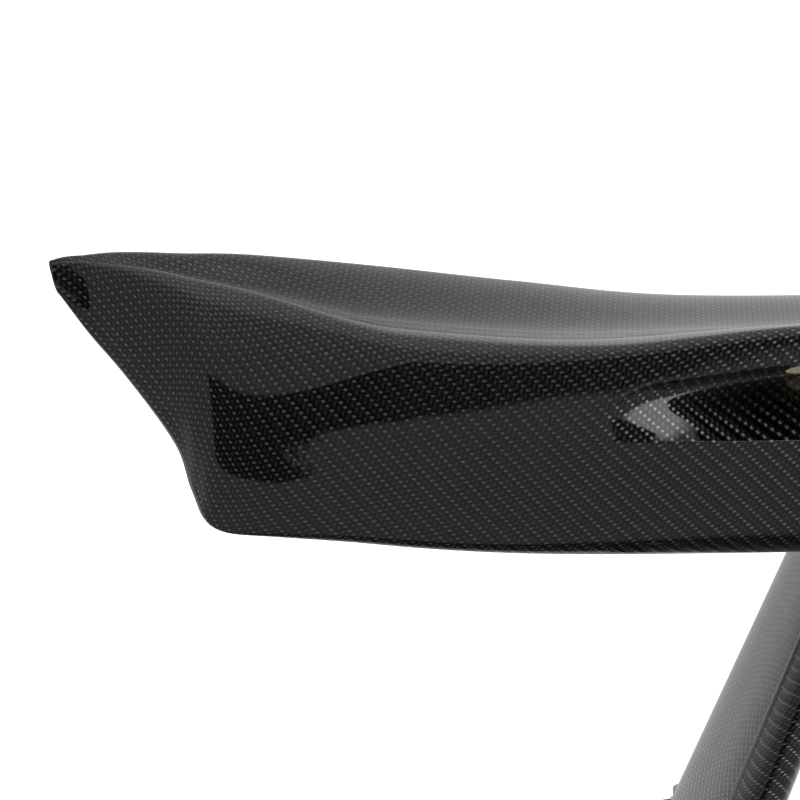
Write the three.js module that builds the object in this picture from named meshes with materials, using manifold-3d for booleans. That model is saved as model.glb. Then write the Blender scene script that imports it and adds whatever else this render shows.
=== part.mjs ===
// Racing rear wing: a moulded carbon wing with upswept, pointed ends, standing on two splayed legs.
// Millimetres. +X is the right end of the span, -Y is the rear, +Z is up.
// The origin is at the middle of the span and of the overall depth, on the surface that the pads rest on.
import * as THREE from 'three';
import { mergeVertices } from 'three/addons/utils/BufferGeometryUtils.js';
import Module from 'manifold-3d';

const wasm = await Module();
wasm.setup();

// ---------------------------------------------------------------- driving dimensions
const HALF_SPAN = 662;
const DECK_HEIGHT = 145; // lower edge of the wing above the ground, at the legs
const SKIN = 1.6; // laminate thickness
const BOND_GAP = 0.35; // between pieces that touch
const LIP_ROLL = 7; // radius of the trailing lip at the centre
const MID_ROLL = 14; // the same radius outboard of the cove
const END_REACH = 0.5; // at the end, how far forward the rounding runs, as a share of the chord
const END_FALL = 0.68; // and how far down, as a share of the height
const DISH = 8; // depth of the hollow in the top surface
const NOSE = 4; // radius of the leading edge
const LIP_DROP = 15; // height of the trailing lip's rear face, above the cove
const CREASE_RISE = 51; // the lower deck's crease above its lower edge
const COVE_DEPTH = 62;
const COVE_END = 460; // distance from the centre plane to the end of the cove
const COVE_FADE = 150; // length over which the cove reaches its full depth
const COVE_SCOOP = 1.5; // how slowly it deepens at first; 1 is a sine
const COVE_MOUTH = 24; // length over which it opens to its full height
const COVE_BEYOND = 30; // length past its end over which the grid spreads again
const FACE_BULGE = 5;
const HEEL_ROLL = 16; // radius under the lower edge, at the legs and between them
const OUTER_HEEL = 9; // the same radius outboard of the cove
const EDGE_ROLL = 2; // the same radius up the outer edge of the end
const BLADE_CORNER = 12; // thickness of the blade and the end where they meet
// Where the section changes from its inner to its outer form: distances from the centre plane.
const HEEL_CHANGE = [400, 520];
const HOLLOW_CHANGE = [400, 590];
const LIP_CHANGE = [440, 530];
const ROUNDING_CHANGE = [530, 600];
const EDGE_CHANGE = [540, 600];
// The most that each feature may take of a section that grows small towards the tip.
const ROUND_SHARE = 0.2; // nose and heel radius
const DISH_SHARE = 0.08;
const LIP_SHARE = 0.25;
const CREASE_SHARE = 0.25;
const BULGE_SHARE = 0.07;
const CORNER_SHARE = 0.35;
const SKIN_SHARE = 0.12;

const SPAR_RADIUS = 6;
const SPAR_BORE = 4.5;
const SPAR_HALF_LENGTH = 392;
const SPAR_Y = 34;
const SPAR_Z = DECK_HEIGHT + 72;

const RIB = 4;
const RIB_INNER = 280; // distance of each leg's two ribs from the centre plane
const RIB_OUTER = 384;
const CORE_END = HALF_SPAN - 62;
const CORE_GAP = 0.6; // foam to skin

const LEG_X = 342.5; // centre of the leg at the wing's lower edge
const LEG_SPLAY = 0.43; // outward lean, run over rise
const LEG_TOE = 0.21; // inward turn of the leg's front, run over depth
const LEG_TOP = { rear: -52, front: 44, width: 26 };
const LEG_FOOT = { rear: -60, front: 74, width: 32 };
const LEG_WALL = 2.5;
const LEG_SQUARENESS = 2.8; // 2 is an ellipse, more is squarer
const LEG_BURY = 12; // how far the leg's form runs on above the wing's lower surface
const LEG_CLEAR = 40; // the wing is cut from a leg this far beyond the ribs

const PAD = 3; // rubber pad
const PLATE = 6; // aluminium foot plate
const PLATE_MARGIN = 13; // foot plate beyond the leg, all round
const SCREW_RADIUS = 3;
const SCREW_HEAD_RADIUS = 5;
const SCREW_HEAD = 5;
const SOCKET_RADIUS = 2.9;
const SCREW_END = 0.3; // lowest point of a foot screw
const SINK_RADIUS = 5.5;
const SINK_DEPTH = 3.2;
const SINK_RIM = 0.8;
const PAD_SETBACK = 0.5; // pad edge inside the foot plate's edge
const WASHER_RADIUS = 6;
const WASHER_TOP = PAD + PLATE + BOND_GAP + 1.2;

const SPINE = { thickness: 6, rear: -18, front: 30, top: DECK_HEIGHT + 47 };
const FLANGE_THICKNESS = 5;
const FLANGE_CLEARANCE = 0.85; // flange to the leg's leaning wall
const FLANGE = {
  thickness: FLANGE_THICKNESS,
  halfWidth: LEG_FOOT.width / 2 - LEG_WALL - LEG_SPLAY * FLANGE_THICKNESS - FLANGE_CLEARANCE,
};

// ---------------------------------------------------------------- guide curves
// Each row is one station from the centre plane to the tip, as points (x, y, z) on the leading edge,
// on the trailing lip and on the lower edge. Heights are above the deck height.
const STATIONS = [
  [[0, 85, 91], [0, -92, 103], [0, -66, 0]],
  [[130, 85, 91], [130, -90, 103], [130, -65, 0]],
  [[260, 84, 91], [260, -82, 101.5], [260, -61, 0]],
  [[380, 80, 94], [380, -69, 96], [380, -53, 0]],
  [[455, 76, 103], [455, -54, 88], [455, -45, 0.6]],
  [[520, 72, 112], [520, -33, 88], [520, -24, 2.6]],
  [[575, 69, 118.5], [572, -10, 94], [577, 2, 6.5]],
  [[604, 66, 120], [597, 6, 101.5], [601, 14, 10.3]],
  [[620, 64, 121], [610, 16, 107], [608, 20, 24]],
  [[634, 62, 121.5], [623, 27, 111], [613.5, 25, 43]],
  [[646, 60, 121], [638, 40, 114], [630.5, 37, 69]],
  [[655, 58, 120], [651, 50, 116], [645.5, 48, 88]],
  [[662, 56, 118], [661.5, 54, 115.5], [660, 54, 107.5]],
];
const TABLE_HALF_SPAN = 662; // the half span that the table and the changes above are written for

function guideCurve(column) {
  const points = STATIONS.map((row) => {
    const [x, y, z] = row[column];
    return new THREE.Vector3((x * HALF_SPAN) / TABLE_HALF_SPAN, y, z + DECK_HEIGHT);
  });
  const behindCentre = points[1].clone().setX(-points[1].x);
  const padded = [behindCentre, ...points];
  const curve = new THREE.CatmullRomCurve3(padded, false, 'catmullrom');
  const first = 1 / (padded.length - 1);
  return (u) => curve.getPoint(first + u * (1 - first));
}

const leadingEdge = guideCurve(0);
const trailingLip = guideCurve(1);
const lowerEdge = guideCurve(2);

// Two distances from the centre plane, as a range on one side of it.
function between(side, from, to) {
  return side < 0 ? [-to, -from] : [from, to];
}

const smooth = THREE.MathUtils.smoothstep;
const lerp = THREE.MathUtils.lerp;

// One station's plane: its three guide points, and the section's own axes in them.
// p runs forward from the lip to the leading edge, and q runs down from the lip to the lower edge.
function stationAt(u) {
  const side = u < 0 ? -1 : 1;
  const lip = trailingLip(Math.abs(u));
  const toNose = leadingEdge(Math.abs(u)).sub(lip);
  const toHeel = lowerEdge(Math.abs(u)).sub(lip);
  const chord = toNose.length();
  const drop = toHeel.length();
  const forward = toNose.divideScalar(chord);
  const down = toHeel.divideScalar(drop);
  const place = ([p, q]) => {
    const point = lip.clone().addScaledVector(forward, p).addScaledVector(down, q);
    point.x *= side;
    return point;
  };
  return { chord, drop, place, x: (lip.x * TABLE_HALF_SPAN) / HALF_SPAN };
}

// ---------------------------------------------------------------- section shape
const NOSE_STEPS = 4;
const DISH_STEPS = 7;
const ROLL_STEPS = 4;
const FACE_STEPS = 4;
const UNDER_STEPS = 9;
// The cove's form, as shares of its depth and of its height.
const COVE_FORM = [
  [0, 0], [0.4, 0.05], [0.75, 0.11], [0.94, 0.2], [1, 0.32], [0.9, 0.45], [0.6, 0.66], [0.25, 0.88],
];

function coveDepthAt(x) {
  const inward = THREE.MathUtils.clamp((COVE_END - x) / COVE_FADE, 0, 1);
  return COVE_DEPTH * Math.sin((Math.PI / 2) * inward) ** COVE_SCOOP;
}

// How far open the cove is, from 0 at its pointed end to 1. Past the end this only spreads the grid.
function coveOpeningAt(x) {
  if (x >= COVE_END) return Math.max(smooth(x, COVE_END, COVE_END + COVE_BEYOND), 0.05);
  const inward = Math.min((COVE_END - x) / COVE_MOUTH, 1);
  return Math.max(Math.sqrt(1 - (1 - inward) ** 2), 0.05);
}

// The outer skin's section: round the nose, over the dish and the lip, into the cove and down to the heel.
function outerPath({ chord, drop, x }) {
  const room = Math.min(chord, drop);
  const nose = Math.min(NOSE, room * ROUND_SHARE);
  const soft = smooth(x, ...ROUNDING_CHANGE);
  const round = lerp(LIP_ROLL, MID_ROLL, smooth(x, ...LIP_CHANGE));
  const wide = lerp(round, END_REACH * chord, soft);
  const high = lerp(round, END_FALL * drop, soft);
  const outerHeel = lerp(OUTER_HEEL, EDGE_ROLL, smooth(x, ...EDGE_CHANGE));
  const heel = Math.min(lerp(HEEL_ROLL, outerHeel, smooth(x, ...HEEL_CHANGE)), room * ROUND_SHARE);
  const dish = Math.min(DISH, chord * DISH_SHARE);
  const cove = coveDepthAt(x);
  const bulging = Math.min(FACE_BULGE / (drop - heel - high), BULGE_SHARE);
  const turn = Math.atan(wide / (high * Math.PI * bulging)); // where the rounding meets the face's own slope
  const reach = wide * Math.sin(turn);
  const fall = high * (1 - Math.cos(turn));
  const fullDrop = Math.max(Math.min(LIP_DROP, drop * LIP_SHARE), fall * 1.2);
  const crease = Math.max(drop - CREASE_RISE, lerp(fullDrop, drop, CREASE_SHARE));
  const lipDrop = lerp(crease, fullDrop, coveOpeningAt(x));
  const face = drop - heel - fall;
  const faceAt = (q) => -bulging * face * Math.sin((Math.PI * (q - fall)) / face);
  const path = [];
  for (let i = 0; i < NOSE_STEPS; i += 1) {
    const angle = Math.PI / 2 - (Math.PI * i) / NOSE_STEPS;
    path.push([chord - nose + nose * Math.cos(angle), nose + nose * Math.sin(angle)]);
  }
  for (let i = 0; i < DISH_STEPS; i += 1) {
    const share = i / DISH_STEPS;
    path.push([lerp(chord - nose, reach, share), dish * (0.5 - 0.5 * Math.cos(2 * Math.PI * share))]);
  }
  for (let i = 0; i < ROLL_STEPS; i += 1) {
    const angle = turn * (i / ROLL_STEPS);
    path.push([reach - wide * Math.sin(angle), high * (1 - Math.cos(angle))]);
  }
  path.push([0, fall]);
  for (const [depth, height] of COVE_FORM) {
    const q = lerp(lipDrop, crease, height);
    path.push([faceAt(q) + cove * depth, q]);
  }
  for (let i = 0; i < FACE_STEPS; i += 1) {
    const q = lerp(crease, drop - heel, i / FACE_STEPS);
    path.push([faceAt(q), q]);
  }
  for (let i = 0; i <= ROLL_STEPS; i += 1) {
    const angle = (Math.PI / 2) * (i / ROLL_STEPS);
    path.push([heel * (1 - Math.cos(angle)), drop - heel + heel * Math.sin(angle)]);
  }
  return path;
}

// The under skin's section, from the nose back and down to the heel.
function underPath(station) {
  const outer = outerPath(station);
  const start = [outer[0][0] - BOND_GAP, outer[0][1]];
  const heel = outer[outer.length - 1];
  const end = [heel[0] + BOND_GAP + skinAt(station), heel[1]];
  const corner = Math.min(BLADE_CORNER, start[0] * CORNER_SHARE);
  const hollow = lerp(0.1, 0.75, smooth(station.x, ...HOLLOW_CHANGE));
  const bend = [
    lerp((start[0] + end[0]) / 2, corner, hollow),
    lerp((start[1] + end[1]) / 2, corner, hollow),
  ];
  const curve = new THREE.QuadraticBezierCurve(
    new THREE.Vector2(...start), new THREE.Vector2(...bend), new THREE.Vector2(...end),
  );
  return curve.getPoints(UNDER_STEPS).map((point) => [point.x, point.y]);
}

// A path moved sideways in its own plane; a positive distance moves it to the right of its direction.
function offsetPath(path, distance) {
  const normalOf = (a, b) => {
    const length = Math.hypot(b[0] - a[0], b[1] - a[1]) || 1;
    return [-(b[1] - a[1]) / length, (b[0] - a[0]) / length];
  };
  return path.map((point, i) => {
    const before = normalOf(path[Math.max(i - 1, 0)], path[Math.max(i, 1)]);
    const last = path.length - 1;
    const after = normalOf(path[Math.min(i, last - 1)], path[Math.min(i + 1, last)]);
    const sum = [before[0] + after[0], before[1] + after[1]];
    const scale = (2 * distance) / Math.max(sum[0] ** 2 + sum[1] ** 2, 1);
    return [point[0] + sum[0] * scale, point[1] + sum[1] * scale];
  });
}

// ---------------------------------------------------------------- closed bodies from grids of points
function bodyFrom(points, triangles) {
  const geometry = new THREE.BufferGeometry().setFromPoints(points);
  geometry.setIndex(triangles.flat());
  const merged = mergeVertices(geometry, 1e-4);
  return signedVolume(merged) < 0 ? flipped(merged) : merged;
}

function signedVolume(geometry) {
  const { position } = geometry.attributes;
  const corners = [0, 1, 2].map(() => new THREE.Vector3());
  let volume = 0;
  for (let i = 0; i < geometry.index.count; i += 3) {
    corners.forEach((corner, k) => corner.fromBufferAttribute(position, geometry.index.getX(i + k)));
    volume += corners[0].dot(corners[1].clone().cross(corners[2])) / 6;
  }
  return volume;
}

function flipped(geometry) {
  const index = Array.from(geometry.index.array);
  for (let i = 0; i < index.length; i += 3) {
    [index[i], index[i + 1]] = [index[i + 1], index[i]];
  }
  geometry.setIndex(index);
  return geometry;
}

// A quad split along its shorter diagonal, so that neighbouring surfaces fold the same way.
function quad(points, a, b, c, d) {
  const across = points[a].distanceTo(points[c]) - points[b].distanceTo(points[d]);
  return across < 1e-4 ? [[a, b, c], [a, c, d]] : [[b, c, d], [b, d, a]];
}

// A thin sheet: two grids of the same size, joined round their edges.
function sheetBody(outerRows, innerRows) {
  const rows = outerRows.length;
  const columns = outerRows[0].length;
  const points = [...outerRows.flat(), ...innerRows.flat()];
  const outer = (i, j) => i * columns + j;
  const inner = (i, j) => rows * columns + i * columns + j;
  const triangles = [];
  for (let i = 0; i + 1 < rows; i += 1) {
    for (let j = 0; j + 1 < columns; j += 1) {
      triangles.push(...quad(points, outer(i, j), outer(i + 1, j), outer(i + 1, j + 1), outer(i, j + 1)));
      triangles.push(...quad(points, inner(i, j), inner(i, j + 1), inner(i + 1, j + 1), inner(i + 1, j)));
    }
    const last = columns - 1;
    triangles.push(...quad(points, outer(i, 0), inner(i, 0), inner(i + 1, 0), outer(i + 1, 0)));
    triangles.push(...quad(points, outer(i, last), outer(i + 1, last), inner(i + 1, last), inner(i, last)));
  }
  for (let j = 0; j + 1 < columns; j += 1) {
    const last = rows - 1;
    triangles.push(...quad(points, outer(0, j), outer(0, j + 1), inner(0, j + 1), inner(0, j)));
    triangles.push(...quad(points, outer(last, j), inner(last, j), inner(last, j + 1), outer(last, j + 1)));
  }
  return bodyFrom(points, triangles);
}

// A solid loft through closed rings of points, with flat ends triangulated from a flat outline.
function loftBody(rings, outline) {
  const size = rings[0].length;
  const points = rings.flat();
  const at = (i, j) => i * size + (j % size);
  const triangles = [];
  for (let i = 0; i + 1 < rings.length; i += 1) {
    for (let j = 0; j < size; j += 1) {
      triangles.push(...quad(points, at(i, j), at(i + 1, j), at(i + 1, j + 1), at(i, j + 1)));
    }
  }
  const ends = [outline[0], outline[outline.length - 1]];
  ends.forEach((flat, end) => {
    const first = end ? (rings.length - 1) * size : 0;
    const clockwise = THREE.ShapeUtils.isClockWise(flat);
    for (const [a, b, c] of THREE.ShapeUtils.triangulateShape(flat, [])) {
      const forward = Boolean(end) === clockwise;
      triangles.push(forward ? [first + a, first + b, first + c] : [first + b, first + a, first + c]);
    }
  });
  return bodyFrom(points, triangles);
}

// ---------------------------------------------------------------- joining and cutting
function toSolid(source) {
  const geometry = source.clone();
  geometry.deleteAttribute('normal');
  geometry.deleteAttribute('uv');
  const merged = mergeVertices(geometry, 1e-4);
  return new wasm.Manifold(new wasm.Mesh({
    numProp: 3,
    vertProperties: new Float32Array(merged.attributes.position.array),
    triVerts: new Uint32Array(merged.index.array),
  }));
}

function fromSolid(solid) {
  const mesh = solid.getMesh();
  const geometry = new THREE.BufferGeometry();
  geometry.setAttribute('position', new THREE.BufferAttribute(new Float32Array(mesh.vertProperties), 3));
  geometry.setIndex(Array.from(mesh.triVerts));
  return geometry;
}

function cut(body, ...tools) {
  return fromSolid(tools.reduce((solid, tool) => solid.subtract(toSolid(tool)), toSolid(body)));
}

function join(body, ...others) {
  return fromSolid(others.reduce((solid, other) => solid.add(toSolid(other)), toSolid(body)));
}

// ---------------------------------------------------------------- wing stations
const ROW_STEPS = [1, 1, 2, 5, 5, 2, 1, 1, 1, 1, 1, 1]; // stations within each row of the table

function halfStations() {
  const rows = STATIONS.length - 1;
  return ROW_STEPS.flatMap((steps, row) =>
    Array.from({ length: steps }, (_, i) => (row + i / steps) / rows)).concat(1);
}

function stationWhere(x) {
  let low = 0;
  let high = 1;
  for (let i = 0; i < 40; i += 1) {
    const middle = (low + high) / 2;
    if (trailingLip(middle).x < x) low = middle;
    else high = middle;
  }
  return low;
}

const wholeSpan = (() => {
  const half = halfStations();
  return [...half.slice(1).map((u) => -u).reverse(), ...half];
})();

const skinAt = ({ chord, drop }) => Math.min(SKIN, SKIN_SHARE * Math.min(chord, drop));

// The same path at every station of the span, as flat points and as points in space.
function spanRows(pathOf) {
  return wholeSpan.map((u) => {
    const station = stationAt(u);
    const flat = pathOf(station).map(([p, q]) => new THREE.Vector2(p, q));
    return { u, flat, ring: flat.map((point) => station.place(point.toArray())) };
  });
}

function sheetAlongSpan(pathOf, side) {
  const outer = spanRows(pathOf);
  const inner = spanRows((station) => offsetPath(pathOf(station), side * skinAt(station)));
  return sheetBody(outer.map((row) => row.ring), inner.map((row) => row.ring));
}

const outerSkin = () => sheetAlongSpan(outerPath, -1);
const underSkin = () => sheetAlongSpan(underPath, 1);

// The wing's whole section as a closed outline, moved in (negative) or out (positive) by a distance.
function outlineOf(station, distance, trim) {
  const outer = offsetPath(outerPath(station), distance).slice(trim, -trim || undefined);
  const underTrim = Math.min(trim, 1);
  const under = offsetPath(underPath(station), -distance).slice(underTrim, -underTrim || undefined).reverse();
  return [...outer, ...under];
}

// The row at any station, on the straight lines between the two rows beside it.
function rowBetween(rows, u) {
  const next = Math.max(rows.findIndex((row) => row.u >= u), 1);
  const [before, after] = [rows[next - 1], rows[next]];
  const share = (u - before.u) / (after.u - before.u);
  const blend = (name) => before[name].map((point, j) => point.clone().lerp(after[name][j], share));
  return { u, flat: blend('flat'), ring: blend('ring') };
}

// A solid slice of the wing between two distances from the centre plane; the left side is negative.
function wingLoft(from, to, distance, trim) {
  const rows = spanRows((station) => outlineOf(station, distance, trim));
  const [start, end] = [from, to].map((x) => Math.sign(x) * stationWhere(Math.abs(x)));
  const near = 0.02 / STATIONS.length;
  const inside = rows.filter(({ u }) => u > start + near && u < end - near);
  const slice = [rowBetween(rows, start), ...inside, rowBetween(rows, end)];
  return loftBody(slice.map((row) => row.ring), slice.map((row) => row.flat));
}

const CORE_TRIM = 3; // points of the outline left out at the nose and at the heel, where the skins meet
const coreBetween = (from, to) => wingLoft(from, to, -(SKIN + CORE_GAP), CORE_TRIM);

// ---------------------------------------------------------------- spar
function rod(radius, length, segments = 16) {
  return new THREE.CylinderGeometry(radius, radius, length, segments);
}

function alongSpar(geometry) {
  return geometry.rotateZ(Math.PI / 2).translate(0, SPAR_Y, SPAR_Z);
}

function spar() {
  const tube = alongSpar(rod(SPAR_RADIUS, 2 * SPAR_HALF_LENGTH));
  const bore = alongSpar(rod(SPAR_BORE, 2 * SPAR_HALF_LENGTH + 2));
  return cut(tube, bore);
}

const sparHole = () => alongSpar(rod(SPAR_RADIUS + BOND_GAP, 2 * (SPAR_HALF_LENGTH + BOND_GAP)));

// ---------------------------------------------------------------- legs
const LEG_BOTTOM = PAD + PLATE + BOND_GAP;
const LEG_RING = 24;
const LEG_ROWS = 5;
const UNDER_SLOPE = 0.66; // rise of the wing's lower surface towards the front, at the legs

const legCentreX = (z) => LEG_X + LEG_SPLAY * (DECK_HEIGHT - z);
const toeAt = (y) => LEG_TOE * (y - LEG_TOP.rear);

function legRing(z, inset) {
  const share = (z - LEG_BOTTOM) / (DECK_HEIGHT - LEG_BOTTOM);
  const rear = lerp(LEG_FOOT.rear, LEG_TOP.rear, share) + inset;
  const front = lerp(LEG_FOOT.front, LEG_TOP.front, share) - inset;
  const halfWidth = lerp(LEG_FOOT.width, LEG_TOP.width, share) / 2 - inset;
  const power = 2 / LEG_SQUARENESS;
  return Array.from({ length: LEG_RING }, (_, i) => {
    const angle = (2 * Math.PI * i) / LEG_RING;
    const across = Math.sign(Math.cos(angle)) * Math.abs(Math.cos(angle)) ** power;
    const along = Math.sign(Math.sin(angle)) * Math.abs(Math.sin(angle)) ** power;
    const y = (front + rear) / 2 + ((front - rear) / 2) * along;
    return [halfWidth * across - toeAt(y), y];
  });
}

// The leg's form, from a bottom height to just above the wing's sloping lower surface.
function legForm(side, inset, bottom, bury) {
  const rings = [];
  const flat = [];
  for (let row = 0; row <= LEG_ROWS; row += 1) {
    const level = lerp(bottom, DECK_HEIGHT, row / LEG_ROWS);
    const ring = legRing(level, inset);
    flat.push(ring.map(([x, y]) => new THREE.Vector2(x, y)));
    rings.push(ring.map(([x, y]) => {
      const top = DECK_HEIGHT + bury + UNDER_SLOPE * (y - LEG_TOP.rear);
      const z = lerp(bottom, top, row / LEG_ROWS);
      return new THREE.Vector3(side * (legCentreX(z) + x), y, z);
    }));
  }
  return loftBody(rings, flat);
}

function leg(side) {
  const hollow = legForm(side, LEG_WALL, LEG_BOTTOM - 1, LEG_BURY + 1);
  const near = between(side, RIB_INNER - LEG_CLEAR, RIB_OUTER + LEG_CLEAR);
  return cut(legForm(side, 0, LEG_BOTTOM, LEG_BURY), hollow, wingLoft(...near, BOND_GAP, 0));
}

// An upright plate that leans with the leg.
function leaningPlate(side, grow) {
  const half = SPINE.thickness / 2 + grow;
  const corners = [
    [-half, SPINE.rear - grow],
    [half, SPINE.rear - grow],
    [half, SPINE.front + grow],
    [-half, SPINE.front + grow],
  ];
  const heights = [LEG_BOTTOM, SPINE.top + grow];
  const rings = heights.map((z) =>
    corners.map(([x, y]) => new THREE.Vector3(side * (legCentreX(z) - toeAt(y) + x), y, z)));
  const flat = corners.map(([x, y]) => new THREE.Vector2(x, y));
  return loftBody(rings, [flat, flat]);
}

const SPINE_SCREW_INSET = 9;
const spineScrewPlaces = [SPINE.rear + SPINE_SCREW_INSET, SPINE.front - SPINE_SCREW_INSET];

function spine(side) {
  const length = SPINE.front - SPINE.rear;
  const middle = (SPINE.front + SPINE.rear) / 2;
  const flange = new THREE.BoxGeometry(2 * FLANGE.halfWidth, length, FLANGE.thickness)
    .rotateZ(side * Math.atan(LEG_TOE))
    .translate(side * (legCentreX(LEG_BOTTOM) - toeAt(middle)), middle, LEG_BOTTOM + FLANGE.thickness / 2);
  const holes = spineScrewPlaces.map((y) => spineScrew(side, y, BOND_GAP));
  return cut(join(leaningPlate(side, 0), flange), ...holes);
}

// ---------------------------------------------------------------- feet
function footOutline(side, margin) {
  const centre = legCentreX(LEG_BOTTOM);
  const points = legRing(LEG_BOTTOM, -margin).map(([x, y]) => new THREE.Vector2(side * (centre + x), y));
  return new THREE.Shape(points);
}

function footLayer(side, margin, bottom, thickness) {
  const options = { depth: thickness, bevelEnabled: false };
  return new THREE.ExtrudeGeometry(footOutline(side, margin), options).translate(0, 0, bottom);
}

const footScrewPlaces = [LEG_FOOT.rear - PLATE_MARGIN / 2, LEG_FOOT.front + PLATE_MARGIN / 2];

const screwX = (side, y) => side * (legCentreX(LEG_BOTTOM) - toeAt(y));

function upright(side, y, radius, bottom, top, segments = 16) {
  return rod(radius, top - bottom, segments)
    .rotateX(Math.PI / 2)
    .translate(screwX(side, y), y, (bottom + top) / 2);
}

function footPlate(side) {
  const holes = footScrewPlaces.map((y) => footScrewHole(side, y));
  const sinks = spineScrewPlaces.map((y) => spineScrew(side, y, BOND_GAP));
  return cut(footLayer(side, PLATE_MARGIN, PAD, PLATE), ...holes, ...sinks);
}

function footPad(side) {
  const holes = footScrewPlaces.map((y) => footScrewHole(side, y));
  return cut(footLayer(side, PLATE_MARGIN - PAD_SETBACK, 0, PAD - BOND_GAP), ...holes);
}

// A socket screw that stands on its washer and passes through the plate and the pad.
function footScrew(side, y) {
  const seat = WASHER_TOP + BOND_GAP;
  const shank = upright(side, y, SCREW_RADIUS, SCREW_END, seat + 1);
  const head = upright(side, y, SCREW_HEAD_RADIUS, seat, seat + SCREW_HEAD);
  const socket = upright(side, y, SOCKET_RADIUS, seat + SCREW_HEAD / 2, seat + SCREW_HEAD * 1.5, 6);
  return cut(join(head, shank), socket);
}

function washer(side, y) {
  const bottom = PAD + PLATE + BOND_GAP;
  const ring = upright(side, y, WASHER_RADIUS, bottom, WASHER_TOP);
  return cut(ring, upright(side, y, SCREW_RADIUS + BOND_GAP, bottom - 1, WASHER_TOP + 1));
}

// A countersunk screw from under the foot plate, up into the spine's flange.
function spineScrew(side, y, grow = 0) {
  const bottom = PAD + (grow ? -1 : BOND_GAP);
  const rim = PAD + SINK_RIM + grow;
  const cone = PAD + SINK_DEPTH + grow;
  const top = LEG_BOTTOM + FLANGE.thickness + (grow ? 1 : -1);
  const radius = SCREW_RADIUS + grow;
  const head = SINK_RADIUS + grow;
  const profile = [[0, bottom], [head, bottom], [head, rim], [radius, cone], [radius, top], [0, top]];
  return new THREE.LatheGeometry(profile.map(([r, z]) => new THREE.Vector2(r, z)), 16)
    .rotateX(Math.PI / 2).translate(screwX(side, y), y, 0);
}

const footScrewHole = (side, y) => upright(side, y, SCREW_RADIUS + BOND_GAP, -1, PAD + PLATE + 1);

// ---------------------------------------------------------------- assembly
const CARBON = { color: 0x15161a, roughness: 0.18, metalness: 0.1 };
const FOAM = { color: 0xd9cfae, roughness: 0.9, metalness: 0 };
const ALUMINIUM = { color: 0xb8bcc0, roughness: 0.35, metalness: 0.9 };
const BLACK_ALUMINIUM = { color: 0x1c1d1f, roughness: 0.45, metalness: 0.7 };
const RUBBER = { color: 0x17181a, roughness: 0.85, metalness: 0 };
const STEEL = { color: 0x9a9da1, roughness: 0.3, metalness: 1 };

const wing = new THREE.Group();

function addPiece(name, geometry, look) {
  const mesh = new THREE.Mesh(geometry, new THREE.MeshStandardMaterial(look));
  mesh.name = name;
  wing.add(mesh);
}

const SIDES = [['left', -1], ['right', 1]];
const ENDS = ['rear', 'front'];

addPiece('outer_skin', outerSkin(), CARBON);
addPiece('under_skin', cut(underSkin(), ...SIDES.map(([, side]) => leaningPlate(side, BOND_GAP))), CARBON);
addPiece('spar', spar(), CARBON);
addPiece('core_centre', cut(coreBetween(-RIB_INNER + BOND_GAP, RIB_INNER - BOND_GAP), sparHole()), FOAM);

for (const [word, side] of SIDES) {
  const innerRib = between(side, RIB_INNER, RIB_INNER + RIB);
  const outerRib = between(side, RIB_OUTER - RIB, RIB_OUTER);
  const bay = between(side, RIB_INNER + RIB + BOND_GAP, RIB_OUTER - RIB - BOND_GAP);
  const end = between(side, RIB_OUTER + BOND_GAP, CORE_END);
  addPiece(`rib_inner_${word}`, cut(coreBetween(...innerRib), sparHole()), CARBON);
  addPiece(`rib_outer_${word}`, cut(coreBetween(...outerRib), sparHole()), CARBON);
  addPiece(`core_bay_${word}`, cut(coreBetween(...bay), sparHole(), leaningPlate(side, BOND_GAP)), FOAM);
  addPiece(`core_end_${word}`, cut(coreBetween(...end), sparHole()), FOAM);
  addPiece(`leg_${word}`, leg(side), CARBON);
  addPiece(`leg_spine_${word}`, spine(side), ALUMINIUM);
  addPiece(`foot_plate_${word}`, footPlate(side), BLACK_ALUMINIUM);
  addPiece(`foot_pad_${word}`, footPad(side), RUBBER);
  ENDS.forEach((place, i) => {
    addPiece(`foot_screw_${place}_${word}`, footScrew(side, footScrewPlaces[i]), STEEL);
    addPiece(`foot_washer_${place}_${word}`, washer(side, footScrewPlaces[i]), STEEL);
    addPiece(`spine_screw_${place}_${word}`, spineScrew(side, spineScrewPlaces[i]), STEEL);
  });
}

// The origin sits under the middle of the overall depth.
const overall = new THREE.Box3().setFromObject(wing);
wing.position.y = -(overall.min.y + overall.max.y) / 2;

export default wing;
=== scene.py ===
"""Racing rear wing in gloss carbon: looks, studio and camera. Metres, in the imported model's own frame."""
import math
import bmesh
import bpy
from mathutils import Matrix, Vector
from mathutils.bvhtree import BVHTree


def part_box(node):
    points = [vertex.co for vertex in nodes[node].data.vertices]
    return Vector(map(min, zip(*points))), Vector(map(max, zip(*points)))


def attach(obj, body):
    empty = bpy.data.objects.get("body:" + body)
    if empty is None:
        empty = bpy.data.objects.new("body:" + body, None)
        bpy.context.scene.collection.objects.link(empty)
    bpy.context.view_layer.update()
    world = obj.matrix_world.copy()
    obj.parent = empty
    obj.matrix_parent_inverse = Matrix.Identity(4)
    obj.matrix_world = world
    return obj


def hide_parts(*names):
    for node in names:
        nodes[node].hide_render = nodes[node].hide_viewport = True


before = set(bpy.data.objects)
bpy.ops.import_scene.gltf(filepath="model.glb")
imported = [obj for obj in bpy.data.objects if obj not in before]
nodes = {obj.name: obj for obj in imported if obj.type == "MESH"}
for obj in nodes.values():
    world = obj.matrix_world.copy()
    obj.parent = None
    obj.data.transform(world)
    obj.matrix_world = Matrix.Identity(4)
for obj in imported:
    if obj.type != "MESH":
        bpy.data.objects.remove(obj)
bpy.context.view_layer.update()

MM = 0.001
SIDES = (("left", -1), ("right", 1))
ENDS = ("rear", "front")

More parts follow.
